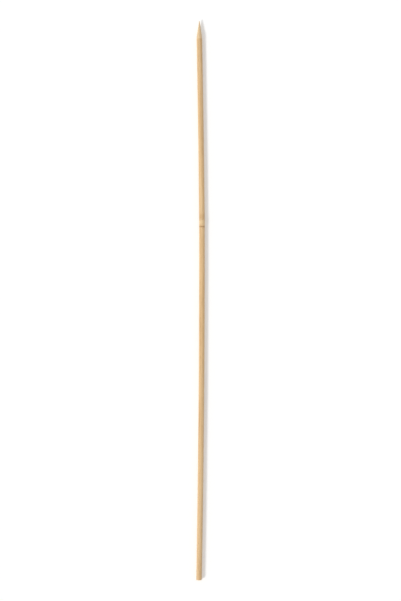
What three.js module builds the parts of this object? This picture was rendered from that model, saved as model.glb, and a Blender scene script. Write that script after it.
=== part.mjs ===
// A bamboo skewer: one rod of split bamboo, planed round, ground to a point at one end and sawn off at the
// other.
//
// Lengths are in millimetres and +Z is up. The skewer lies as it comes to rest on a table, along Y, with its
// point towards +Y. The origin is on the table, under the middle of its bounding box.
//
// The rod is turned first as a straight round profile about Y, the axis that LatheGeometry uses. It is then
// given what bamboo adds: a section that is a little out of round, a slow sideways bow, a slight turn where
// the culm's ring crosses the rod, and the ring itself, which stands proud on the skin side only. The point
// stays round, because it is ground by turning the rod against a wheel.

import * as THREE from "three";

// The rod
const LENGTH = 400; // from the sawn end to the tip
const WIDTH = 4.0; // across the section, as it lies
const HEIGHT = 3.86; // from the table up
const BOW = 1.5; // how far the middle stands sideways of a line between the ends

// The ground point
const POINT_LENGTH = 14; // from where the grinding starts to the tip
const SHOULDER_LENGTH = 4; // how much of that the rod takes to run into the straight cone
const TIP_RADIUS = 0.28; // the tip is blunted by handling
const TIP_OFFSET = 0.22; // the grinding is never quite centred on the rod

// The sawn end
const SAWN_EDGE = 0.22; // wear round the sawn face

// The culm's ring: a broad ridge, and towards the sawn end from it the thin scar that the sheath leaves
const RING_FROM_SAWN_END = 256;
const RING_SWELL = 0.2;
const RING_HALF_LENGTH = 5;
const RING_TURN = 0.45; // degrees between the limbs on the two sides of the ring, shared by both
const SCAR_FROM_RING = 3.2;
const SCAR_DEPTH = 0.1;
const SCAR_HALF_WIDTH = 1.1;

// How finely the form is divided
const SIDES = 36;
const EDGE_STEPS = 3;
const SHANK_STEP = 9; // the longest step along the plain rod
const RING_STEP = 0.6; // the longest step across the ring and its scar
const SHOULDER_STEPS = 6;
const CONE_STEPS = 12;
const TIP_STEPS = 4;

const RADIUS = WIDTH / 2;
const SAWN_Y = -LENGTH / 2;
const TIP_Y = LENGTH / 2;
const POINT_Y = TIP_Y - POINT_LENGTH;
const CONE_Y = POINT_Y + SHOULDER_LENGTH;
const RING_Y = SAWN_Y + RING_FROM_SAWN_END;
const SCAR_Y = RING_Y - SCAR_FROM_RING;

const BAMBOO = new THREE.MeshStandardMaterial({
  name: "bamboo",
  color: 0xe2c194,
  roughness: 0.62,
  metalness: 0,
});

// The straight cone aims at a spot on the rod's side half way along the shoulder, and meets the rounded tip
// tangentially. Its half angle follows from those two.
function coneHalfAngle() {
  const run = POINT_LENGTH - SHOULDER_LENGTH / 2 - TIP_RADIUS;
  const reach = Math.hypot(run, RADIUS);
  return Math.atan2(RADIUS, run) - Math.asin(TIP_RADIUS / reach);
}

// Places along the rod between two ends, the last one included, in even steps no longer than the one given.
function places(from, to, longestStep) {
  const count = Math.ceil((to - from) / longestStep);
  return Array.from({ length: count }, (_, i) => THREE.MathUtils.lerp(from, to, (i + 1) / count));
}

// The profile's points from the middle of the sawn face to the middle of the tip: x is the distance from the
// rod's middle line, and y the place along it.
function profile() {
  const sawnEdge = new THREE.EllipseCurve(
    RADIUS - SAWN_EDGE, SAWN_Y + SAWN_EDGE, SAWN_EDGE, SAWN_EDGE, -Math.PI / 2, 0,
  ).getPoints(EDGE_STEPS);

  const ringStart = Math.min(RING_Y - RING_HALF_LENGTH, SCAR_Y - SCAR_HALF_WIDTH);
  const ringEnd = RING_Y + RING_HALF_LENGTH;
  const side = [
    ...places(SAWN_Y + SAWN_EDGE, ringStart, SHANK_STEP),
    ...places(ringStart, ringEnd, RING_STEP),
    ...places(ringEnd, POINT_Y, SHANK_STEP),
  ].map((y) => new THREE.Vector2(RADIUS, y));

  // The shoulder is a curve from the rod's side into the cone, tangent to both.
  const angle = coneHalfAngle();
  const corner = new THREE.Vector2(RADIUS, POINT_Y + SHOULDER_LENGTH / 2);
  const alongCone = new THREE.Vector2(-Math.sin(angle), Math.cos(angle));
  const coneStart = corner.clone().addScaledVector(alongCone, SHOULDER_LENGTH / 2);
  const shoulder = new THREE.QuadraticBezierCurve(new THREE.Vector2(RADIUS, POINT_Y), corner, coneStart);

  const tipCentreY = TIP_Y - TIP_RADIUS;
  const tip = new THREE.EllipseCurve(
    0, tipCentreY, TIP_RADIUS, TIP_RADIUS, angle, Math.PI / 2,
  ).getPoints(TIP_STEPS);
  const cone = new THREE.LineCurve(coneStart, tip[0]).getPoints(CONE_STEPS);

  return [
    new THREE.Vector2(0, SAWN_Y),
    ...sawnEdge,
    ...side,
    ...shoulder.getPoints(SHOULDER_STEPS).slice(1),
    ...cone.slice(1),
    ...tip.slice(1, -1),
    new THREE.Vector2(0, TIP_Y),
  ];
}

// A smooth bump that is 1 at its middle and falls to 0 at its half length.
function bump(distance, halfLength) {
  const t = Math.min(Math.abs(distance) / halfLength, 1);
  return 0.5 + 0.5 * Math.cos(Math.PI * t);
}

// How far the skin side stands out from the planed rod.
function ringRelief(y) {
  return RING_SWELL * bump(y - RING_Y, RING_HALF_LENGTH) - SCAR_DEPTH * bump(y - SCAR_Y, SCAR_HALF_WIDTH);
}

// The section's height as a share of its width: out of round along the rod, and round where it is ground.
function flatness(y) {
  return THREE.MathUtils.lerp(HEIGHT / WIDTH, 1, THREE.MathUtils.smoothstep(y, POINT_Y, CONE_Y));
}

// How far the rod's middle line stands sideways: a parabola for the bow, a straight limb on each side of the
// ring for the turn there, and the drift of the ground point.
function sideways(y) {
  const fromSawnEnd = (y - SAWN_Y) / LENGTH;
  const bow = 4 * BOW * fromSawnEnd * (1 - fromSawnEnd);

  const ringShare = RING_FROM_SAWN_END / LENGTH;
  const atRing = Math.tan(THREE.MathUtils.degToRad(RING_TURN)) * LENGTH * ringShare * (1 - ringShare);
  const limb = y < RING_Y ? fromSawnEnd / ringShare : (1 - fromSawnEnd) / (1 - ringShare);

  const drift = TIP_OFFSET * THREE.MathUtils.smoothstep(y, POINT_Y, TIP_Y);
  return bow + atRing * limb + drift;
}

// Turns the straight round rod into the bamboo one, with its skin side up, and lays it on the table.
function asBamboo(geometry) {
  const position = geometry.getAttribute("position");
  const p = new THREE.Vector3();
  for (let i = 0; i < position.count; i++) {
    p.fromBufferAttribute(position, i);
    const facesUp = Math.max(0, p.z / (Math.hypot(p.x, p.z) || 1));
    const swell = 1 + (ringRelief(p.y) * facesUp) / RADIUS;
    position.setXYZ(i, p.x * swell + sideways(p.y), p.y, p.z * swell * flatness(p.y));
  }
  geometry.computeBoundingBox();
  const { min, max } = geometry.boundingBox;
  geometry.translate(-(min.x + max.x) / 2, -(min.y + max.y) / 2, -min.z);
  geometry.computeVertexNormals();
  return geometry;
}

function skewer() {
  // The half step of turn puts a facet, and not an edge, underneath, so that the rod lies on a narrow flat.
  const turnedRod = new THREE.LatheGeometry(profile(), SIDES, Math.PI / SIDES);
  const mesh = new THREE.Mesh(asBamboo(turnedRod), BAMBOO);
  mesh.name = "skewer";
  return mesh;
}

const part = new THREE.Group();
part.name = "bamboo_skewer";
part.add(skewer());

export default part;
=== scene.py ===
"""A bamboo skewer on a pale floor: its form, its bamboo, its loose fibres and the studio round it.

The rod lies along Y, with its point towards +Y and its skin side up, as the packed part does. Sizes are
in metres. Patterns are laid out in millimetres of the straight rod, before it is bent, so that they
follow the bend.
"""

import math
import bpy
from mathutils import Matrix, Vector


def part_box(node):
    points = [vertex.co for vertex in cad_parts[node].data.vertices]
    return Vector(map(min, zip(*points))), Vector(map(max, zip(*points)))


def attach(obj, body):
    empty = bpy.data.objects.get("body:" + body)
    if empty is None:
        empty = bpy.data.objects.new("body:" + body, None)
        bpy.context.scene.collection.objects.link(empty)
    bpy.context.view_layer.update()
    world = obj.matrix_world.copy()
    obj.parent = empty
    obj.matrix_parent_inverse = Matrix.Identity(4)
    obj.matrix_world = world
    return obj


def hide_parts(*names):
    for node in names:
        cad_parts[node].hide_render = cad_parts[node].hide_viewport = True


bl_info = {
    "name": "Bamboo Skewer",
    "version": (1, 0, 0),
    "blender": (4, 5, 0),
    "location": "3D Viewport > Sidebar > Skewer",
    "description": "Makes a bamboo skewer with its fibres, ring, ground point and sawn end",
    "category": "Add Mesh",
}

import bpy
from bpy.props import FloatProperty, FloatVectorProperty, IntProperty, PointerProperty
from bpy.types import Operator, Panel, PropertyGroup
from mathutils import Vector

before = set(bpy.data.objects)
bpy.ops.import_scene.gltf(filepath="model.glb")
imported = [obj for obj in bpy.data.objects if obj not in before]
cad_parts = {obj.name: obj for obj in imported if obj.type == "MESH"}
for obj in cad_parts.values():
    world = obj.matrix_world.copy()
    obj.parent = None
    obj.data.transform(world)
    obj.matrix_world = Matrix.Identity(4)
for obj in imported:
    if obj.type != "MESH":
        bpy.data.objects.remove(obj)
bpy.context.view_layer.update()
LOW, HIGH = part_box("skewer")

MM = 0.001
PER_METRE = 1 / MM
SQUARE_CM = 1e-4
TINY = 0.001 * MM

# How finely the rod is divided
FACE_ROWS = 18
EDGE_ROWS = 6
SHOULDER_ROWS = 18
CONE_ROWS = 44
TIP_ROWS = 8
FINE_ROW = 0.22 * MM  # near the sawn end and the ring
PLAIN_ROW = 0.66 * MM
FINE_FROM_SAWN_END = 4 * MM
FINE_BEFORE_RING = 9 * MM
FINE_AFTER_RING = 7 * MM

# The layout map holds the rod's side in columns side by side, and the sawn face beside them
LAYOUT_MAP = "OFBake"
LAYOUT_COLUMNS = 4
LAYOUT_GAP = 0.006
DISC_SHARE = 0.14

GRAIN = "grain"  # the attribute that holds a point's place in the straight rod, in millimetres
SAWN_FACE = "sawn_face"  # the attribute that marks the sawn face
NEAR_AXIS = 0.1 * MM  # within this radius the relief no longer grows

# The bundles of fibres are scattered across the rod: how many there are to a millimetre, how far a bundle
# and its vessel reach in the room that each has, and how faint the faintest bundle is
FINE_BUNDLES = {"per_mm": 2.9, "reach": 0.42, "vessel": 0.13, "faintest": 0.35}  # on the skin side
COARSE_BUNDLES = {"per_mm": 1.75, "reach": 0.42, "vessel": 0.1, "faintest": 0.55}  # on the far side
SCATTER = 0.8  # how far they stray from an even spacing
SOFT_EDGE = 0.06  # how much softer their edges are in the shape than in the colour
RUN_OUT = 0.0045  # how fast they drift across the rod
WANDER = 0.5  # how far they wander to each side
WANDER_RATE = 0.012  # and how often
FADE_RATE = 0.03  # how often one grows stronger and fainter along the rod
KNOT_REACH = 8.5  # how far from the ring they swirl
KNOT_PULL = 1.1  # and how far they are pulled there
APART = 30  # places so far apart in a noise have nothing in common

# From where to where, up from the rod's middle, the skin side takes over and the ring's marks grow strong
SKIN_SIDE = (-0.9, 1.5)
RING_SIDE = (-1.7, 1.2)
FAINTEST_RING = 0.12  # how strong they still are on the far side

# Where the shape's relief lies
RELIEF_FROM = (0.02, 0.3)  # it sets in between these shares of the radius, clear of the very tip
GROUND_GROOVE = 0.45  # the depth of the grooves on the ground point, as a share of the others'
FACE_RIM = (0.78, 0.95)  # the rim that chips, as shares of the radius
CHIP_REACH = 3  # how far along the rod a chip reaches, in depths of a chip
TEAR_REACH = 1.1  # how far along the rod the face's tears reach, in widths of the worn edge

# How far the ring's colours reach, in half lengths of the ring, and the scar's, in its half widths
RIDGE_REACH = 0.55
BROWN_MIDDLE = 0.8  # from the ring to the middle of the brown band past it
BROWN_REACH = 0.72
STAIN_REACH = 1.2
LINE_REACH = 0.29

GROUND_FROM = (0.8, 1.5)  # how far past the point's start the ground bamboo's colour sets in

# Each finish's roughness, as a range, and the depth of its finest relief
SIDE_ROUGHNESS = (0.52, 0.38)
SIDE_RELIEF = 0.03 * MM
FACE_ROUGHNESS = (0.85, 0.7)
FACE_RELIEF = 0.04 * MM
LOOSE_ROUGHNESS = (0.6, 0.75)
LOOSE_RELIEF = 0.005 * MM

# The other patterns, as how often they change to a millimetre across the rod, along it and, where that
# differs, up
SWIRL = (0.45, 0.22)  # the fibres near the ring
PLANE_WAVE = (0.25, 0.05)  # the planed side
FACETS = (0.55, 0.12)  # the ground point
TORN_EDGE = (2.4, 0.4)  # the edge of the sawn face
SAW_LINES = (0.45, 1, 8)  # across the sawn face
STREAKS = (8, 0.13)  # brown and pale lines along the rod
HAIRS = (20, 0.35)  # the finest of them
PATCHES = (0.4, 0.022)  # paler and browner bamboo
VESSEL_DASHES = (3, 0.3)  # the stretches where a vessel is cut open
RING_EDGE = (1.4, 0.4)  # the edges of the ring's colours
SCAR_BREAKS = (1.7, 0.2)  # where the scar's dark line is fainter
GRINDING_EDGE = (1.3, 0.1)  # the edge of the ground point's colour
WHEEL_LINES = (0.9, 11)  # round the ground point
FIBRE_SHADES = (1, 0.3)  # the colours of the loose fibres

# Where fibres lift, as distances along the rod, and how often, as shares of what the sawn end has
FRAY_REACH = 2.2 * MM
CLEAR_OF_FACE = 0.12 * MM
CLEAR_OF_FLOOR = 1.1 * MM
POINT_FRAY_PLACE = 1.4 * MM
POINT_FRAY_REACH = 2.2 * MM
POINT_FRAY = 0.5
RING_FRAY_REACH = 4 * MM
RING_FRAY = 0.25
PLAIN_FRAY = 0.004
LIFTED_BY_SAW = 19 * MM  # nearer than this to the sawn end, the fibres point out past it

# The course and form of a loose fibre of length 1, rooted along +Z
FIBRE_COURSE = {"Start": (0, 0, -0.12), "Middle": (0.015, 0, 0.5), "End": (0.16, 0.03, 1)}
FIBRE_STEPS = 7
FIBRE_SIDES = 5
FIBRE_THINNING = 0.6  # how it thins out: at 1 it would be a cone
FIBRE_END = 0.25  # how thick its end still is, as a share

# The studio
FLOOR_REACH = 3.0
KEY_FROM = (-0.62, -0.42, 0.62)  # the direction that the lamp shines from
KEY_SPREAD = math.radians(14)  # how wide it is from the skewer, which softens its shadow
LENS_MM = 85
SENSOR_MM = 36
WHITE = (1, 1, 1, 1)

FLOAT = "NodeSocketFloat"
WHOLE = "NodeSocketInt"
COLOUR = "NodeSocketColor"
VECTOR = "NodeSocketVector"
GEOMETRY = "NodeSocketGeometry"


# Sizes and colours that a user would change


def size(name, description, default):
    """A property that holds a length."""
    return FloatProperty(
        name=name, description=description, default=default, min=0, unit="LENGTH", precision=5
    )


def amount(name, description, default):
    """A property that holds a plain amount, which can't be negative."""
    return FloatProperty(name=name, description=description, default=default, min=0)


def linear(screen):
    """A screen's share of a colour as the share of light."""
    return screen / 12.92 if screen <= 0.04045 else ((screen + 0.055) / 1.055) ** 2.4


def colour(name, description, red, green, blue):
    """A property that holds a colour, given in a screen's steps from 0 to 255."""
    return FloatVectorProperty(
        name=name,
        description=description,
        subtype="COLOR",
        size=3,
        min=0,
        max=1,
        default=[linear(step / 255) for step in (red, green, blue)],
    )


class RodSizes(PropertyGroup):
    """The planed rod and its bow"""

    length: size("Length", "From the sawn end to the tip", HIGH.y - LOW.y)
    width: size("Width", "Across the section, as the rod lies", 4.0 * MM)
    height: size("Height", "Through the section, from the floor up", 3.86 * MM)
    bow: size("Bow", "How far the middle stands sideways of a line between the ends", 1.5 * MM)
    waviness: size("Waviness", "How much the planed side wanders in and out", 0.025 * MM)
    groove: size("Groove", "How deep the soft tissue sinks between the bundles", 0.03 * MM)
    sides: IntProperty(name="Sides", description="Faces round the rod", default=128, min=12, max=256)


class PointSizes(PropertyGroup):
    """The ground point"""

    length: size("Length", "From where the grinding starts to the tip", 14 * MM)
    shoulder: size("Shoulder", "How much of that the rod takes to run into the cone", 4 * MM)
    tip_radius: size("Tip radius", "How blunt the tip is", 0.28 * MM)
    offset: size("Offset", "How far off the rod's middle the tip stands", 0.22 * MM)
    facet: size("Facet", "How far the grinding strays from round", 0.05 * MM)


class SawnEndSizes(PropertyGroup):
    """The sawn end"""

    edge: size("Edge", "Wear round the sawn face", 0.22 * MM)
    chip: size("Chip", "How deep the edge is torn where fibres broke out", 0.2 * MM)
    tear: size("Tear", "How deep the face is torn between its bundles", 0.06 * MM)


class RingSizes(PropertyGroup):
    """The culm's ring and the scar beside it"""

    place: size("Place", "From the sawn end to the ring", 256 * MM)
    swell: size("Swell", "How far the ring stands proud on the skin side", 0.2 * MM)
    half_length: size("Half length", "Half the ring's length along the rod", 5 * MM)
    turn: FloatProperty(
        name="Turn",
        description="How far the rod turns sideways at the ring",
        default=math.radians(0.45),
        subtype="ANGLE",
    )
    scar_gap: size("Scar gap", "From the ring to the scar", 3.2 * MM)
    scar_depth: size("Scar depth", "How deep the scar is", 0.1 * MM)
    scar_half_width: size("Scar half width", "Half the scar's width along the rod", 1.1 * MM)


class LooseFibreSizes(PropertyGroup):
    """Fibres that sawing and planing have lifted"""

    longest: size("Longest", "The longest fibre", 1.9 * MM)
    shortest: amount("Shortest", "The shortest fibre, as a share of the longest", 0.2)
    radius: size("Radius", "Half a fibre's thickness", 0.026 * MM)
    spread: amount("Spread", "How far a fibre turns off the rod's direction", 0.12)
    per_square_cm: amount("Fibres per square centimetre", "How many there are near the sawn end", 66)
    seed: IntProperty(name="Seed", description="Another number lays the fibres elsewhere", default=7)


class BambooColours(PropertyGroup):
    """The colours of the bamboo"""

    flesh: colour("Flesh", "The soft tissue between the bundles", 241, 211, 166)
    fibre: colour("Fibre", "The bundles of fibres", 188, 140, 86)
    pore: colour("Pore", "The opened vessels inside the bundles", 112, 74, 40)
    skin: colour("Skin", "The denser side, which grew nearest the skin", 227, 189, 136)
    ring: colour("Ring", "The proud ridge of the ring", 240, 214, 168)
    scar: colour("Scar", "The scar beside the ring", 118, 78, 42)
    ground: colour("Ground", "The freshly ground point", 246, 222, 184)
    sawn: colour("Sawn", "The sawn face", 232, 199, 152)


class StudioSettings(PropertyGroup):
    """The floor, the lights and the camera"""

    floor: colour("Floor", "The pale floor", 253, 253, 253)
    floor_lift: amount("Floor lift", "How much the floor is seen lifted towards white", 0.12)
    sky: amount("Sky", "Brightness of the light from all round", 0.58)
    key: amount("Key", "Brightness of the broad lamp on the left", 0.52)
    rod_share: amount("Rod share", "The rod's length as a share of the picture's height", 0.93)


# Nodes, for trees of both kinds


class Nodes:
    """Adds nodes to a tree and links what they are given, whether a value or another node's socket."""

    def __init__(self, tree):
        self.tree = tree

    def add(self, kind, inputs=(), **settings):
        """A node of that kind. Its inputs are given in order, or by name in a dict."""
        node = self.tree.nodes.new(kind)
        for name, value in settings.items():
            setattr(node, name, value)
        enabled = [socket for socket in node.inputs if socket.enabled]
        if isinstance(inputs, dict):
            by_name = {socket.name: socket for socket in enabled}
            pairs = [(by_name[name], value) for name, value in inputs.items()]
        else:
            pairs = zip(enabled, inputs)
        for socket, value in pairs:
            self.feed(socket, value)
        return node

    def feed(self, socket, value):
        """Links a socket to the input, or sets the input to a value."""
        if isinstance(value, bpy.types.NodeSocket):
            self.tree.links.new(value, socket)
        else:
            socket.default_value = value

    def out(self, kind, inputs=(), **settings):
        """The first output in use of a new node."""
        node = self.add(kind, inputs, **settings)
        return next(socket for socket in node.outputs if socket.enabled)

    def math(self, operation, *values):
        """The number that an operation gives."""
        return self.out("ShaderNodeMath", values, operation=operation)

    def sum(self, first, *others):
        """All the numbers added up."""
        for other in others:
            first = self.math("ADD", first, other)
        return first

    def product(self, first, *others):
        """All the numbers multiplied."""
        for other in others:
            first = self.math("MULTIPLY", first, other)
        return first

    def weighed(self, *pairs):
        """Numbers added up, each given with its weight."""
        return self.sum(*(self.product(value, weight) for value, weight in pairs))

    def share(self, part, whole):
        """A part divided by its whole."""
        return self.math("DIVIDE", part, whole)

    def less(self, first, second):
        """The first number less the second."""
        return self.math("SUBTRACT", first, second)

    def away(self, value):
        """One less the value."""
        return self.math("SUBTRACT", 1, value)

    def parts(self, vector):
        """The three numbers of a vector."""
        return self.add("ShaderNodeSeparateXYZ", [vector]).outputs[:]

    def vector(self, x, y, z):
        """A vector of three numbers."""
        return self.out("ShaderNodeCombineXYZ", [x, y, z])

    def stretched(self, vector, across, along, up=None):
        """A vector with its X, Y and Z multiplied by across, along and up. Left out, up is as across."""
        factors = (across, along, across if up is None else up)
        return self.out("ShaderNodeVectorMath", [vector, factors], operation="MULTIPLY")

    def moved(self, vector, offset):
        """A vector with another one added."""
        return self.out("ShaderNodeVectorMath", [vector, offset], operation="ADD")

    def step(self, value, low, high, start=0, end=1):
        """A smooth step from start to end while the value goes from low to high."""
        settings = {"interpolation_type": "SMOOTHSTEP", "clamp": True}
        return self.out("ShaderNodeMapRange", [value, low, high, start, end], **settings)

    def ramp(self, value, low, high, start=0, end=1):
        """A straight ramp from start to end while the value goes from low to high."""
        return self.out("ShaderNodeMapRange", [value, low, high, start, end], clamp=True)

    def bump(self, distance, half_length):
        """1 where the distance is 0, falling smoothly to 0 at the half length."""
        far = self.math("MINIMUM", self.math("ABSOLUTE", self.share(distance, half_length)), 1)
        wave = self.math("COSINE", self.product(far, math.pi))
        return self.math("MULTIPLY_ADD", wave, 0.5, 0.5)

    def noise(self, vector, rates=None, detail=2, roughness=0.5, output=0):
        """Smooth noise about 0.5, which changes at the rates given: a value, or as output 1 a colour."""
        if rates:
            vector = self.stretched(vector, *rates)
        inputs = {"Vector": vector, "Scale": 1, "Detail": detail, "Roughness": roughness}
        return self.add("ShaderNodeTexNoise", inputs).outputs[output]

    def stray(self, vector, reach, rates=None, **settings):
        """Noise about 0 that goes about that far each way."""
        return self.product(self.less(self.noise(vector, rates, **settings), 0.5), reach, 2)

    def cells(self, x, y):
        """The distance to the nearest of many scattered points, and a number from 0 to 1 for each."""
        inputs = {"Vector": self.vector(x, y, 0), "Scale": 1, "Randomness": SCATTER}
        node = self.add("ShaderNodeTexVoronoi", inputs, voronoi_dimensions="2D")
        return node.outputs["Distance"], self.parts(node.outputs["Color"])[0]

    def tinted(self, shade, *tints):
        """A colour with others laid over it in turn. Each is given as its mask, its share and itself."""
        for mask, share, tint in tints:
            inputs = {"Factor": self.product(mask, share), "A": shade, "B": tint}
            shade = self.out("ShaderNodeMix", inputs, data_type="RGBA")
        return shade


def new_tree(name, kind, inputs, outputs):
    """A tree with named inputs and outputs, as (Nodes, its inputs by name, its outputs by name)."""
    tree = bpy.data.node_groups.new(name, kind)
    for in_out, sockets in (("INPUT", inputs), ("OUTPUT", outputs)):
        for label, socket_type in sockets.items():
            tree.interface.new_socket(name=label, in_out=in_out, socket_type=socket_type)
    nodes = Nodes(tree)
    given = {socket.name: socket for socket in nodes.add("NodeGroupInput").outputs if socket.name}
    wanted = {socket.name: socket for socket in nodes.add("NodeGroupOutput").inputs if socket.name}
    return nodes, given, wanted


def grown(piece, tree, values):
    """Runs a geometry tree on a piece with the values given, and makes the result its plain mesh."""
    modifier = piece.modifiers.new(tree.name, "NODES")
    modifier.node_group = tree
    for socket in tree.interface.items_tree:
        if socket.in_out == "INPUT" and socket.name in values:
            modifier[socket.identifier] = values[socket.name]
    evaluated = piece.evaluated_get(bpy.context.evaluated_depsgraph_get())
    mesh = bpy.data.meshes.new_from_object(evaluated)
    piece.modifiers.remove(modifier)
    piece.data = mesh
    mesh.name = piece.name
    # A shape that the tree makes from nothing brings an empty slot, before the one for its finish.
    if mesh.materials[0] is None:
        mesh.materials.pop(index=0)
    return piece


def placed(name, data):
    """An object at the origin for a mesh, a lamp or a camera. It takes the place of an earlier one."""
    earlier = bpy.data.objects.get(name)
    if earlier:
        bpy.data.objects.remove(earlier)
    thing = bpy.data.objects.new(name, data)
    bpy.context.scene.collection.objects.link(thing)
    return thing


# The bamboo that both the shape and the finish follow


def knotted(nodes, grain, from_ring):
    """The grain with its fibres pulled about near the ring, where two lengths of the culm meet."""
    near = nodes.product(nodes.bump(from_ring, KNOT_REACH), KNOT_PULL)
    swirl = nodes.noise(grain, SWIRL, detail=1, output=1)
    pull = nodes.out("ShaderNodeVectorMath", [swirl, (0.5, 0.5, 0.5)], operation="SUBTRACT")
    pull = nodes.out("ShaderNodeVectorMath", {"Vector": pull, "Scale": near}, operation="SCALE")
    return nodes.moved(grain, pull)


def bundles(nodes, grain, softness=0.0):
    """How fibrous the bamboo is at a place in the grain, how near the middle of a bundle's vessel it is,
    and how near the skin.

    The bundles run along the rod and wander slowly. They are fine and close on the skin side, and coarse
    and scattered on the far side. A softness widens their edges.
    """
    x, y, z = nodes.parts(grain)
    slow = nodes.vector(0, nodes.product(y, WANDER_RATE), 0)
    elsewhere = nodes.moved(slow, (0, APART, 0))
    across = nodes.sum(x, nodes.product(y, RUN_OUT), nodes.stray(slow, WANDER, detail=1))
    deep = nodes.sum(z, nodes.stray(elsewhere, WANDER, detail=1))
    skin = nodes.step(z, *SKIN_SIDE)
    fibre, vessel = [], []
    for kind, near in ((FINE_BUNDLES, skin), (COARSE_BUNDLES, nodes.away(skin))):
        per_mm, reach, hole = kind["per_mm"], kind["reach"], kind["vessel"]
        distance, chance = nodes.cells(nodes.product(across, per_mm), nodes.product(deep, per_mm))
        body = nodes.step(distance, reach + softness, reach / 2 - softness)
        fade = nodes.noise(nodes.vector(nodes.product(chance, APART), nodes.product(y, FADE_RATE), 0))
        fading = nodes.ramp(fade, 0.3, 0.6, 0.5, 1)
        strength = nodes.ramp(chance, 0, 1, kind["faintest"], 1)
        fibre.append(nodes.product(body, strength, fading, near))
        vessel.append(nodes.product(nodes.step(distance, hole, hole * 0.4), near))
    return nodes.sum(*fibre), nodes.sum(*vessel), skin


def saw_lines(nodes, grain):
    """The lines that the saw left across the sawn face."""
    return nodes.noise(grain, SAW_LINES, detail=4, roughness=0.65)


# The straight rod


def sawn_middle_x():
    """Where the middle of the packed rod's sawn face stands sideways."""
    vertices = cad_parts["skewer"].data.vertices
    across = [vertex.co.x for vertex in vertices if vertex.co.y < LOW.y + TINY]
    return (min(across) + max(across)) / 2


def arc(middle, radius, start, end, rows):
    """Rows along an arc, the last included, as (distance from the rod's middle line, place along it)."""
    turns = [start + (end - start) * i / rows for i in range(1, rows + 1)]
    return [(middle[0] + radius * math.cos(turn), middle[1] + radius * math.sin(turn)) for turn in turns]


def plain_rows(rod, point, sawn, ring):
    """The rows from the worn edge to the start of the point, closest at the sawn end and the ring."""
    sawn_y = -rod.length / 2
    ring_y = sawn_y + ring.place
    # Each stop is a place along the rod, and the spacing of the rows from there to the next.
    stops = [
        (sawn_y + sawn.edge, FINE_ROW),
        (sawn_y + FINE_FROM_SAWN_END, PLAIN_ROW),
        (ring_y - FINE_BEFORE_RING, FINE_ROW),
        (ring_y + FINE_AFTER_RING, PLAIN_ROW),
        (rod.length / 2 - point.length, None),
    ]
    rows = []
    for (start, row), (end, _) in zip(stops, stops[1:]):
        count = math.ceil((end - start) / row)
        rows += [(rod.width / 2, start + (end - start) * i / count) for i in range(1, count + 1)]
    return rows


def point_rows(rod, point):
    """The rows of the point, up to the last one before the tip. The cone aims at a spot half way along the
    shoulder, and meets the rounded tip tangentially."""
    radius, tip_y = rod.width / 2, rod.length / 2
    point_y = tip_y - point.length
    reach = point.shoulder / 2
    run = point.length - reach - point.tip_radius
    slope = math.atan2(radius, run) - math.asin(point.tip_radius / math.hypot(run, radius))
    shoulder_start = Vector((radius, point_y))
    corner = Vector((radius, point_y + reach))
    cone_start = corner + Vector((-math.sin(slope), math.cos(slope))) * reach
    shoulder = []
    for i in range(1, SHOULDER_ROWS + 1):
        part = i / SHOULDER_ROWS
        first, second = shoulder_start.lerp(corner, part), corner.lerp(cone_start, part)
        shoulder.append(tuple(first.lerp(second, part)))
    tip_middle = Vector((0, tip_y - point.tip_radius))
    cone_end = tip_middle + Vector((math.cos(slope), math.sin(slope))) * point.tip_radius
    cone = [tuple(cone_start.lerp(cone_end, i / CONE_ROWS)) for i in range(1, CONE_ROWS + 1)]
    tip = arc(tip_middle, point.tip_radius, slope, math.pi / 2, TIP_ROWS)
    return shoulder + cone + tip[:-1]


def rod_rows(rod, point, sawn, ring):
    """The rows of the straight rod, as (distance from its middle line, place along it): those on the sawn
    face, and those on its side up to the last one before the tip."""
    sawn_y = -rod.length / 2
    flat = rod.width / 2 - sawn.edge
    face = [(flat * i / FACE_ROWS, sawn_y) for i in range(1, FACE_ROWS + 1)]
    edge = arc((flat, sawn_y + sawn.edge), sawn.edge, -math.pi / 2, 0, EDGE_ROWS)
    return face, edge + plain_rows(rod, point, sawn, ring) + point_rows(rod, point)


def column_place(rod):
    """Gives a place on the rod's side its place on the layout map, in the column of its face's middle."""
    tall = rod.length / LAYOUT_COLUMNS
    wide = (1 - DISC_SHARE) / LAYOUT_COLUMNS
    inset = 2 * LAYOUT_GAP

    def place(face_middle, y, share):
        column = min(int((face_middle + rod.length / 2) / tall), LAYOUT_COLUMNS - 1)
        along = (y + rod.length / 2 - column * tall) / tall
        return (column + inset + share * (1 - 2 * inset)) * wide, inset + along * (1 - 2 * inset)

    return place


def disc_place(radius):
    """Gives a place on the sawn face its place on the layout map, beside the columns."""
    middle = 1 - DISC_SHARE / 2
    reach = DISC_SHARE / 2 - LAYOUT_GAP

    def place(from_middle, share):
        turn = math.tau * share
        distance = reach * from_middle / radius
        return middle + distance * math.cos(turn), 0.5 + distance * math.sin(turn)

    return place


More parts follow.
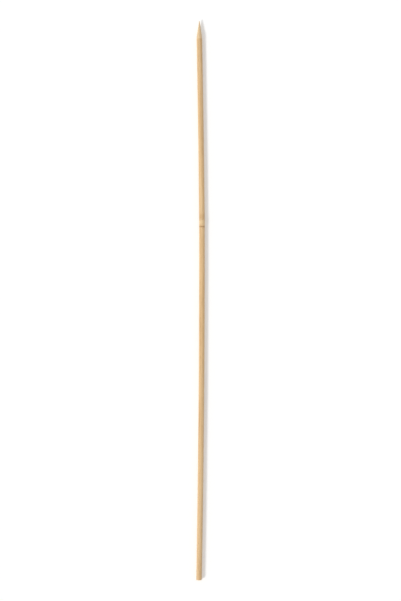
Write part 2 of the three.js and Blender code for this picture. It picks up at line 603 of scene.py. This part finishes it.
def straight_rod(rod, point, sawn, ring):
    """The rod before it is bent and grooved: a closed mesh with its layout map."""
    face, side = rod_rows(rod, point, sawn, ring)
    rows = face + side
    sides = rod.sides
    sawn_y, tip_y = -rod.length / 2, rod.length / 2
    vertices = [(0, sawn_y, 0)]
    for radius, y in rows:
        for i in range(sides):
            turn = math.tau * i / sides - math.pi / 2
            vertices.append((radius * math.cos(turn), y, radius * math.sin(turn)))
    tip = len(vertices)
    vertices.append((0, tip_y, 0))

    disc = disc_place(rod.width / 2 - sawn.edge)
    column = column_place(rod)
    faces, places = [], []

    def corner(row, i):
        return 1 + row * sides + i % sides

    for i in range(sides):
        first, second = i / sides, (i + 1) / sides
        faces.append((0, corner(0, i), corner(0, i + 1)))
        places += [disc(0, 0), disc(face[0][0], first), disc(face[0][0], second)]
    for row, ((inner, start), (outer, end)) in enumerate(zip(rows, rows[1:])):
        on_face = row < len(face) - 1
        middle = (start + end) / 2
        for i in range(sides):
            first, second = i / sides, (i + 1) / sides
            quad = (corner(row, i), corner(row + 1, i), corner(row + 1, i + 1), corner(row, i + 1))
            faces.append(quad)
            if on_face:
                spots = ((inner, first), (outer, first), (outer, second), (inner, second))
                places += [disc(*spot) for spot in spots]
            else:
                spots = ((start, first), (end, first), (end, second), (start, second))
                places += [column(middle, *spot) for spot in spots]
    last, last_y = len(rows) - 1, rows[-1][1]
    for i in range(sides):
        faces.append((corner(last, i), tip, corner(last, i + 1)))
        spots = ((last_y, i / sides), (tip_y, (i + 0.5) / sides), (last_y, (i + 1) / sides))
        places += [column(tip_y, *spot) for spot in spots]

    mesh = bpy.data.meshes.new("straight_rod")
    mesh.from_pydata(vertices, [], faces)
    layout = mesh.uv_layers.new(name=LAYOUT_MAP)
    layout.data.foreach_set("uv", [number for place in places for number in place])
    mark = mesh.attributes.new(SAWN_FACE, "BOOLEAN", "FACE")
    mark.data.foreach_set("value", [k < sides * len(face) for k in range(len(faces))])
    mesh.polygons.foreach_set("use_smooth", [True] * len(faces))
    return mesh


# The rod as it is bent, grooved and torn


def ring_relief(nodes, given, from_ring, faces_up):
    """How far the ring stands proud and its scar sinks. The scar lies towards the sawn end from the ring,
    and both are strongest on the skin side."""
    ridge = nodes.product(nodes.bump(from_ring, given["Ring half length"]), given["Ring swell"])
    scar = nodes.bump(nodes.sum(from_ring, given["Scar gap"]), given["Scar half width"])
    return nodes.product(nodes.less(ridge, nodes.product(scar, given["Scar depth"])), faces_up)


def surface_relief(nodes, given, grain, fibre, grinding):
    """How far the soft tissue sinks between the bundles, and how far the plane and the wheel stray."""
    kept = nodes.ramp(grinding, 0, 1, 1, GROUND_GROOVE)
    groove = nodes.product(nodes.away(fibre), given["Groove"], -1, kept)
    wave = nodes.stray(grain, given["Waviness"], PLANE_WAVE)
    facet = nodes.stray(grain, nodes.product(given["Facet"], grinding), FACETS, detail=1)
    return nodes.sum(groove, wave, facet)


def sideways_bend(nodes, given, from_sawn, point_start):
    """How far the rod's middle line stands sideways: its bow, its turn at the ring, its point's drift."""
    along = nodes.share(from_sawn, given["Length"])
    bow = nodes.product(given["Bow"], 4, along, nodes.away(along))
    ring_share = nodes.share(given["Ring place"], given["Length"])
    slope = nodes.math("TANGENT", given["Ring turn"])
    at_ring = nodes.product(slope, given["Ring place"], nodes.away(ring_share))
    before_ring = nodes.share(along, ring_share)
    after_ring = nodes.share(nodes.away(along), nodes.away(ring_share))
    turn = nodes.product(at_ring, nodes.math("MINIMUM", before_ring, after_ring))
    drift = nodes.product(given["Offset"], nodes.step(from_sawn, point_start, given["Length"]))
    return nodes.sum(bow, turn, drift, given["Sideways shift"])


def torn_back(nodes, given, grain, from_sawn, from_middle, fibre):
    """How far the sawn end is torn back: its edge is chipped, and its face is torn between the bundles and
    scored by the saw."""
    near_face = nodes.step(from_sawn, nodes.product(given["Chip"], CHIP_REACH), 0)
    rim = nodes.step(from_middle, *FACE_RIM)
    ragged = nodes.noise(grain, TORN_EDGE, detail=3, roughness=0.7)
    chipped = nodes.product(nodes.step(ragged, 0.5, 0.75), given["Chip"], near_face, rim)
    on_face = nodes.step(from_sawn, nodes.product(given["Edge"], TEAR_REACH), 0)
    uneven = nodes.weighed((nodes.away(fibre), 0.6), (saw_lines(nodes, grain), 0.4))
    return nodes.sum(chipped, nodes.product(uneven, given["Tear"], on_face))


def rod_tree(sizes, planed, sawn):
    """The tree that makes the straight rod the bamboo one, with a finish for its side and its face."""
    inputs = {"Geometry": GEOMETRY, **dict.fromkeys(sizes, FLOAT)}
    nodes, given, wanted = new_tree("Bamboo rod", "GeometryNodeTree", inputs, {"Geometry": GEOMETRY})
    straight = nodes.out("GeometryNodeInputPosition")
    grain = nodes.stretched(straight, PER_METRE, PER_METRE)
    x, y, z = nodes.parts(straight)
    radius = nodes.math("SQRT", nodes.sum(nodes.product(x, x), nodes.product(z, z)))
    from_middle = nodes.share(radius, nodes.product(given["Width"], 0.5))
    faces_up = nodes.math("MAXIMUM", nodes.share(z, nodes.math("MAXIMUM", radius, TINY)), 0)
    from_sawn = nodes.sum(y, nodes.product(given["Length"], 0.5))
    from_ring = nodes.less(from_sawn, given["Ring place"])
    point_start = nodes.less(given["Length"], given["Point length"])
    grinding = nodes.step(from_sawn, point_start, nodes.sum(point_start, given["Shoulder"]))
    fibre_grain = knotted(nodes, grain, nodes.product(from_ring, PER_METRE))
    fibre, _, _ = bundles(nodes, fibre_grain, SOFT_EDGE)

    relief = nodes.sum(
        ring_relief(nodes, given, from_ring, faces_up),
        surface_relief(nodes, given, grain, fibre, grinding),
    )
    relief = nodes.product(relief, nodes.step(from_middle, *RELIEF_FROM))
    swell = nodes.sum(1, nodes.share(relief, nodes.math("MAXIMUM", radius, NEAR_AXIS)))

    # The section is out of round along the rod, and round where it is ground.
    oval = nodes.share(given["Height"], given["Width"])
    flatness = nodes.sum(oval, nodes.product(nodes.away(oval), grinding))
    place = nodes.vector(
        nodes.sum(nodes.product(x, swell), sideways_bend(nodes, given, from_sawn, point_start)),
        nodes.sum(y, torn_back(nodes, given, grain, from_sawn, from_middle, fibre)),
        nodes.sum(nodes.product(z, swell, flatness), nodes.product(given["Height"], 0.5)),
    )

    inputs = {"Geometry": given["Geometry"], "Name": GRAIN, "Value": grain}
    shape = nodes.out("GeometryNodeStoreNamedAttribute", inputs, data_type="FLOAT_VECTOR")
    shape = nodes.out("GeometryNodeSetPosition", {"Geometry": shape, "Position": place})
    shape = nodes.out("GeometryNodeRealizeInstances", {"Geometry": shape})
    shape = nodes.out("GeometryNodeSetMaterial", {"Geometry": shape, "Material": planed})
    face = nodes.out("GeometryNodeInputNamedAttribute", {"Name": SAWN_FACE}, data_type="BOOLEAN")
    inputs = {"Geometry": shape, "Selection": face, "Material": sawn}
    nodes.feed(wanted["Geometry"], nodes.out("GeometryNodeSetMaterial", inputs))
    return nodes.tree


# The finishes


def bamboo_grain_group():
    """Bamboo cut at any angle: its flesh, bundles, vessels and slow change of colour."""
    hues = ("Flesh", "Fibre", "Pore", "Skin")
    inputs = {"Grain": VECTOR, **dict.fromkeys(hues, COLOUR), "Along": FLOAT}
    outputs = {"Color": COLOUR, "Height": FLOAT, "Fibrous": FLOAT}
    nodes, given, wanted = new_tree("Bamboo grain", "ShaderNodeTree", inputs, outputs)
    grain, along = given["Grain"], given["Along"]
    fibre, vessel, skin = bundles(nodes, grain)
    streak = nodes.noise(grain, STREAKS, detail=4, roughness=0.65)
    hair = nodes.noise(grain, HAIRS, roughness=0.7)
    patch = nodes.noise(grain, PATCHES, detail=3)
    fibrous = nodes.product(fibre, nodes.ramp(streak, 0.3, 0.65, 0.5, 1))

    # A vessel that the cut runs along shows as broken dashes, and one cut across as a whole hole.
    opened = nodes.step(nodes.noise(grain, VESSEL_DASHES), 0.47, 0.56)
    holes = nodes.product(vessel, nodes.math("MAXIMUM", opened, nodes.away(along)))

    # The bundles are browner than the flesh, and fine brown and pale lines run between them. Over some
    # centimetres the bamboo turns paler and browner.
    shade = nodes.tinted(
        given["Flesh"],
        (skin, 0.75, given["Skin"]),
        (fibrous, 0.85, given["Fibre"]),
        (nodes.product(nodes.step(streak, 0.5, 0.75), along), 0.55, given["Fibre"]),
        (nodes.product(nodes.step(hair, 0.52, 0.7), along), 0.4, given["Fibre"]),
        (nodes.product(nodes.step(streak, 0.46, 0.25), along), 0.5, given["Flesh"]),
        (nodes.step(patch, 0.5, 0.72), 0.35, given["Flesh"]),
        (nodes.step(patch, 0.48, 0.28), 0.35, given["Fibre"]),
        (holes, 0.8, given["Pore"]),
    )
    height = nodes.weighed((fibre, 0.6), (streak, 0.6), (hair, 0.4), (holes, -1))
    for name, value in (("Color", shade), ("Height", height), ("Fibrous", fibrous)):
        nodes.feed(wanted[name], value)
    return nodes.tree


def opaque(shade, share=1.0):
    """A share of a property's colour with an alpha of 1, as a socket takes it."""
    return (*(share * part for part in shade), 1)


def grain_node(nodes, group, grain, hues, flesh, along, darkness=1.0):
    """A node that holds the grain group with this object's colours."""
    node = nodes.add("ShaderNodeGroup", node_tree=group)
    values = {
        "Grain": grain,
        "Flesh": opaque(flesh),
        "Fibre": opaque(hues.fibre, darkness),
        "Pore": opaque(hues.pore, darkness),
        "Skin": opaque(hues.skin),
        "Along": along,
    }
    for name, value in values.items():
        nodes.feed(node.inputs[name], value)
    return node.outputs


def new_finish(name, draw, bump_distance):
    """A material whose colour, roughness and height the function given draws with nodes."""
    material = bpy.data.materials.new(name)
    material.use_nodes = True
    material.node_tree.nodes.clear()
    nodes = Nodes(material.node_tree)
    shade, roughness, height = draw(nodes)
    relief = nodes.out("ShaderNodeBump", {"Strength": 1, "Distance": bump_distance, "Height": height})
    values = {
        "Base Color": shade,
        "Roughness": roughness,
        "Normal": relief,
        "IOR": 1.5,
        "Specular IOR Level": 0.45,
    }
    nodes.add("ShaderNodeOutputMaterial", [nodes.out("ShaderNodeBsdfPrincipled", values)])
    return material


def planed_bamboo(group, scene):
    """The rod's side with its ring and its ground point."""
    hues, rod = scene.skewer_colours, scene.skewer_rod
    point, ring = scene.skewer_point, scene.skewer_ring
    half_ring = ring.half_length * PER_METRE
    half_scar = ring.scar_half_width * PER_METRE

    def draw(nodes):
        grain = nodes.add("ShaderNodeAttribute", attribute_name=GRAIN).outputs["Vector"]
        _, y, z = nodes.parts(grain)
        from_sawn = nodes.sum(y, rod.length / 2 * PER_METRE)
        from_ring = nodes.less(from_sawn, ring.place * PER_METRE)
        bamboo = grain_node(nodes, group, knotted(nodes, grain, from_ring), hues, hues.flesh, 1)

        # The ridge is paler, the bamboo past it browner, and a thin dark line runs along the scar, fainter
        # in places. All of them are strongest on the skin side.
        up = nodes.ramp(z, *RING_SIDE, FAINTEST_RING, 1)
        ragged = nodes.stray(grain, 0.9, RING_EDGE, detail=4, roughness=0.65)
        ridge = nodes.bump(nodes.sum(from_ring, ragged), RIDGE_REACH * half_ring)
        past_ring = nodes.sum(from_ring, nodes.product(ragged, 1.5), -BROWN_MIDDLE * half_ring)
        browner = nodes.bump(past_ring, BROWN_REACH * half_ring)
        from_scar = nodes.sum(from_ring, ring.scar_gap * PER_METRE, nodes.product(ragged, 0.3))
        stain = nodes.bump(from_scar, STAIN_REACH * half_scar)
        broken = nodes.ramp(nodes.noise(grain, SCAR_BREAKS), 0.38, 0.56, 0.3, 1)
        line = nodes.product(nodes.bump(from_scar, LINE_REACH * half_scar), up, broken)

        # The wheel leaves a paler, drier surface with fine lines round it, and its edge is uneven.
        from_point = nodes.less(from_sawn, (rod.length - point.length) * PER_METRE)
        uneven = nodes.stray(grain, 1.5, GRINDING_EDGE, detail=3)
        ground = nodes.step(nodes.sum(from_point, uneven), *GROUND_FROM)
        wheel_lines = nodes.noise(grain, WHEEL_LINES, detail=3, roughness=0.7)
        scored = nodes.product(ground, nodes.step(wheel_lines, 0.56, 0.76))

        shade = nodes.tinted(
            bamboo["Color"],
            (nodes.product(ridge, up), 0.42, opaque(hues.ring)),
            (nodes.product(browner, up), 0.35, opaque(hues.fibre)),
            (nodes.product(stain, up), 0.5, opaque(hues.fibre)),
            (line, 0.78, opaque(hues.scar)),
            (ground, 0.42, opaque(hues.ground)),
            (scored, 0.14, opaque(hues.fibre)),
        )
        roughness = nodes.ramp(bamboo["Fibrous"], 0, 1, *SIDE_ROUGHNESS)
        roughness = nodes.weighed((roughness, 1), (ground, 0.2), (line, 0.25))
        scores = nodes.product(wheel_lines, ground)
        height = nodes.weighed((bamboo["Height"], 1), (scores, 0.5), (line, -1))
        return shade, roughness, height

    return new_finish("planed_bamboo", draw, SIDE_RELIEF)


def sawn_bamboo(group, scene):
    """The sawn face: the bundles seen end on, with the saw's lines across them."""
    hues = scene.skewer_colours

    def draw(nodes):
        grain = nodes.add("ShaderNodeAttribute", attribute_name=GRAIN).outputs["Vector"]
        bamboo = grain_node(nodes, group, grain, hues, hues.sawn, 0, darkness=0.62)
        lines = saw_lines(nodes, grain)
        shade = nodes.tinted(bamboo["Color"], (nodes.step(lines, 0.5, 0.7), 0.2, opaque(hues.fibre)))
        roughness = nodes.ramp(bamboo["Fibrous"], 0, 1, *FACE_ROUGHNESS)
        return shade, roughness, nodes.sum(bamboo["Height"], lines)

    return new_finish("sawn_bamboo", draw, FACE_RELIEF)


def fibre_finish(scene):
    """The loose fibres: pale, and browner in places."""
    hues = scene.skewer_colours

    def draw(nodes):
        place = nodes.add("ShaderNodeTexCoord").outputs["Object"]
        noise = nodes.noise(nodes.stretched(place, PER_METRE, PER_METRE), FIBRE_SHADES)
        shade = nodes.tinted(opaque(hues.ground), (nodes.step(noise, 0.4, 0.65), 1, opaque(hues.skin)))
        return shade, nodes.ramp(noise, 0.3, 0.7, *LOOSE_ROUGHNESS), noise

    return new_finish("loose_fibre", draw, LOOSE_RELIEF)


# The loose fibres


def one_fibre(nodes, radius, longest):
    """A fibre of length 1. It is rooted along +Z, lifts off towards +X in a slow curve and thins out."""
    inputs = {**FIBRE_COURSE, "Resolution": FIBRE_STEPS}
    spine = nodes.out("GeometryNodeCurveQuadraticBezier", inputs)
    left = nodes.away(nodes.add("GeometryNodeSplineParameter").outputs["Factor"])
    thinning = nodes.math("MAXIMUM", nodes.math("POWER", left, FIBRE_THINNING), FIBRE_END)
    inputs = {"Resolution": FIBRE_SIDES, "Radius": nodes.share(radius, longest)}
    section = nodes.out("GeometryNodeCurvePrimitiveCircle", inputs)
    inputs = {"Curve": spine, "Profile Curve": section, "Scale": thinning, "Fill Caps": True}
    return nodes.out("GeometryNodeCurveToMesh", inputs)


def fibre_tree(sizes, material):
    """The tree that lays fibres on the rod where it was sawn, where it was ground and at the ring."""
    inputs = {"Geometry": GEOMETRY, **dict.fromkeys(sizes, FLOAT), "Seed": WHOLE}
    nodes, given, wanted = new_tree("Loose fibres", "GeometryNodeTree", inputs, {"Geometry": GEOMETRY})
    _, y, z = nodes.parts(nodes.out("GeometryNodeInputPosition"))
    from_sawn = nodes.less(y, given["Sawn end"])
    from_point = nodes.less(y, nodes.sum(given["Point start"], POINT_FRAY_PLACE))
    from_ring = nodes.less(y, given["Ring"])
    often = nodes.sum(
        nodes.step(from_sawn, FRAY_REACH, 0),
        nodes.product(nodes.bump(from_point, POINT_FRAY_REACH), POINT_FRAY),
        nodes.product(nodes.bump(from_ring, RING_FRAY_REACH), RING_FRAY),
        PLAIN_FRAY,
    )
    off_face = nodes.math("GREATER_THAN", from_sawn, CLEAR_OF_FACE)
    off_floor = nodes.math("GREATER_THAN", z, CLEAR_OF_FLOOR)
    density = nodes.product(often, given["Density"], off_face, off_floor)
    inputs = {"Mesh": given["Geometry"], "Density": density, "Seed": given["Seed"]}
    roots = nodes.add("GeometryNodeDistributePointsOnFaces", inputs).outputs

    def chance(low, high, salt):
        inputs = {"Min": low, "Max": high, "Seed": nodes.sum(given["Seed"], salt)}
        return nodes.out("FunctionNodeRandomValue", inputs, data_type="FLOAT")

    # At the sawn end the fibres point out past it, and elsewhere towards the point.
    towards = nodes.math("SIGN", nodes.less(from_sawn, LIFTED_BY_SAW))
    spread = given["Spread"]
    to_left = nodes.product(spread, -1)
    heading = nodes.vector(chance(to_left, spread, 1), towards, chance(to_left, spread, 2))
    inputs = {"Primary Axis": heading, "Secondary Axis": roots["Normal"]}
    turned = nodes.out("FunctionNodeAxesToRotation", inputs, primary_axis="Z", secondary_axis="X")
    length = nodes.product(given["Longest"], chance(given["Shortest"], 1, 3))
    inputs = {
        "Points": roots["Points"],
        "Instance": one_fibre(nodes, given["Radius"], given["Longest"]),
        "Rotation": turned,
        "Scale": nodes.vector(length, length, length),
    }
    shape = nodes.out("GeometryNodeInstanceOnPoints", inputs)
    shape = nodes.out("GeometryNodeRealizeInstances", {"Geometry": shape})
    shape = nodes.out("GeometryNodeSetMaterial", {"Geometry": shape, "Material": material})
    nodes.feed(wanted["Geometry"], shape)
    return nodes.tree


# The studio


def seen(nodes):
    """1 for rays that show a thing, straight on, mirrored or through glass, and 0 for those that light."""
    path = nodes.add("ShaderNodeLightPath").outputs
    shown = nodes.math("MAXIMUM", path["Is Camera Ray"], path["Is Glossy Ray"])
    return nodes.math("MAXIMUM", shown, path["Is Transmission Ray"])


def lay_floor(settings):
    """A plain pale floor under the skewer, which is seen a little lifted towards white."""
    reach = FLOOR_REACH
    mesh = bpy.data.meshes.new("floor")
    corners = [(-reach, -reach, 0), (reach, -reach, 0), (reach, reach, 0), (-reach, reach, 0)]
    mesh.from_pydata(corners, [], [(0, 1, 2, 3)])
    material = bpy.data.materials.new("floor")
    material.use_nodes = True
    material.node_tree.nodes.clear()
    nodes = Nodes(material.node_tree)
    values = {
        "Base Color": opaque(settings.floor),
        "Roughness": 0.9,
        "Specular IOR Level": 0,
        "Emission Color": WHITE,
        "Emission Strength": nodes.product(seen(nodes), settings.floor_lift),
    }
    nodes.add("ShaderNodeOutputMaterial", [nodes.out("ShaderNodeBsdfPrincipled", values)])
    mesh.materials.append(material)
    placed("floor", mesh)


def light_sky(scene, settings):
    """Light from all round, which is seen as white."""
    world = bpy.data.worlds.new("sky")
    scene.world = world
    world.use_nodes = True
    world.node_tree.nodes.clear()
    nodes = Nodes(world.node_tree)
    strength = nodes.ramp(seen(nodes), 0, 1, settings.sky, 1)
    background = nodes.out("ShaderNodeBackground", {"Color": WHITE, "Strength": strength})
    nodes.add("ShaderNodeOutputWorld", [background])


def hang_key(settings):
    """The broad, far lamp to the left, whose shadow falls to the right. It lights the whole floor evenly.
    At this strength a white surface that faces it has the brightness asked for."""
    lamp = bpy.data.lights.new("key", "SUN")
    lamp.angle = KEY_SPREAD
    lamp.energy = settings.key * math.pi
    placed("key", lamp).rotation_euler = (-Vector(KEY_FROM)).to_track_quat("-Z", "Y").to_euler()


def set_camera(scene, settings):
    """Straight above the skewer, with its point at the top. The lens's angle spans the picture's height,
    its longer side."""
    data = bpy.data.cameras.new("camera")
    data.lens = LENS_MM
    data.sensor_width = SENSOR_MM
    shown = (HIGH.y - LOW.y) / settings.rod_share
    camera = placed("camera", data)
    camera.location = (0, 0, shown / 2 / math.tan(data.angle / 2) + HIGH.z / 2)
    scene.camera = camera


# The operators


class SKEWER_OT_rod(Operator):
    """Make the bamboo rod in place of the plain packed one"""

    bl_idname = "skewer.rod"
    bl_label = "Bamboo rod"
    bl_options = {"REGISTER", "UNDO"}

    def execute(self, context):
        scene = context.scene
        rod, point = scene.skewer_rod, scene.skewer_point
        sawn, ring = scene.skewer_sawn_end, scene.skewer_ring
        sizes = {
            "Length": rod.length,
            "Width": rod.width,
            "Height": rod.height,
            "Bow": rod.bow,
            "Waviness": rod.waviness,
            "Groove": rod.groove,
            "Point length": point.length,
            "Shoulder": point.shoulder,
            "Offset": point.offset,
            "Facet": point.facet,
            "Edge": sawn.edge,
            "Chip": sawn.chip,
            "Tear": sawn.tear,
            "Ring place": ring.place,
            "Ring swell": ring.swell,
            "Ring half length": ring.half_length,
            "Ring turn": ring.turn,
            "Scar gap": ring.scar_gap,
            "Scar depth": ring.scar_depth,
            "Scar half width": ring.scar_half_width,
            "Sideways shift": sawn_middle_x(),
        }
        group = bamboo_grain_group()
        tree = rod_tree(sizes, planed_bamboo(group, scene), sawn_bamboo(group, scene))
        piece = grown(placed("bamboo_rod", straight_rod(rod, point, sawn, ring)), tree, sizes)
        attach(piece, "root")
        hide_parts("skewer")
        return {"FINISHED"}


class SKEWER_OT_loose_fibres(Operator):
    """Lay the loose fibres on the rod"""

    bl_idname = "skewer.loose_fibres"
    bl_label = "Loose fibres"
    bl_options = {"REGISTER", "UNDO"}

    def execute(self, context):
        scene = context.scene
        rod = bpy.data.objects.get("bamboo_rod")
        if rod is None:
            raise RuntimeError("make the bamboo rod first: the loose fibres grow on it")
        fibres = scene.skewer_loose_fibres
        sizes = {
            "Density": fibres.per_square_cm / SQUARE_CM,
            "Longest": fibres.longest,
            "Shortest": fibres.shortest,
            "Radius": fibres.radius,
            "Spread": fibres.spread,
            "Sawn end": LOW.y,
            "Point start": HIGH.y - scene.skewer_point.length,
            "Ring": LOW.y + scene.skewer_ring.place,
        }
        tree = fibre_tree(sizes, fibre_finish(scene))
        values = {**sizes, "Seed": fibres.seed}
        piece = grown(placed("loose_fibres", rod.data.copy()), tree, values)
        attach(piece, "root")
        return {"FINISHED"}


class SKEWER_OT_studio(Operator):
    """Set out the floor, the lights and the camera"""

    bl_idname = "skewer.studio"
    bl_label = "Studio"
    bl_options = {"REGISTER", "UNDO"}

    def execute(self, context):
        scene = context.scene
        settings = scene.skewer_studio
        lay_floor(settings)
        light_sky(scene, settings)
        hang_key(settings)
        set_camera(scene, settings)
        scene.view_settings.view_transform = "Standard"
        return {"FINISHED"}


# The panel and the add-on

STEPS = (SKEWER_OT_rod, SKEWER_OT_loose_fibres, SKEWER_OT_studio)

GROUPS = {
    "skewer_rod": RodSizes,
    "skewer_point": PointSizes,
    "skewer_sawn_end": SawnEndSizes,
    "skewer_ring": RingSizes,
    "skewer_loose_fibres": LooseFibreSizes,
    "skewer_colours": BambooColours,
    "skewer_studio": StudioSettings,
}


class SKEWER_PT_panel(Panel):
    """Lists the sizes and colours, and the steps that make the skewer from them"""

    bl_label = "Bamboo skewer"
    bl_idname = "SKEWER_PT_panel"
    bl_space_type = "VIEW_3D"
    bl_region_type = "UI"
    bl_category = "Skewer"

    def draw(self, context):
        for group, kind in GROUPS.items():
            column = self.layout.column(align=True)
            column.label(text=kind.__doc__)
            for name in kind.__annotations__:
                column.prop(getattr(context.scene, group), name)
        column = self.layout.column(align=True)
        for step in STEPS:
            column.operator(step.bl_idname)


CLASSES = (*GROUPS.values(), *STEPS, SKEWER_PT_panel)


def register():
    for kind in CLASSES:
        bpy.utils.register_class(kind)
    for name, kind in GROUPS.items():
        setattr(bpy.types.Scene, name, PointerProperty(type=kind))


def unregister():
    for name in GROUPS:
        delattr(bpy.types.Scene, name)
    for kind in reversed(CLASSES):
        bpy.utils.unregister_class(kind)


def main():
    """Makes the skewer and its studio."""
    register()
    bpy.ops.skewer.rod()
    bpy.ops.skewer.loose_fibres()
    bpy.ops.skewer.studio()


if __name__ == "__main__":
    main()
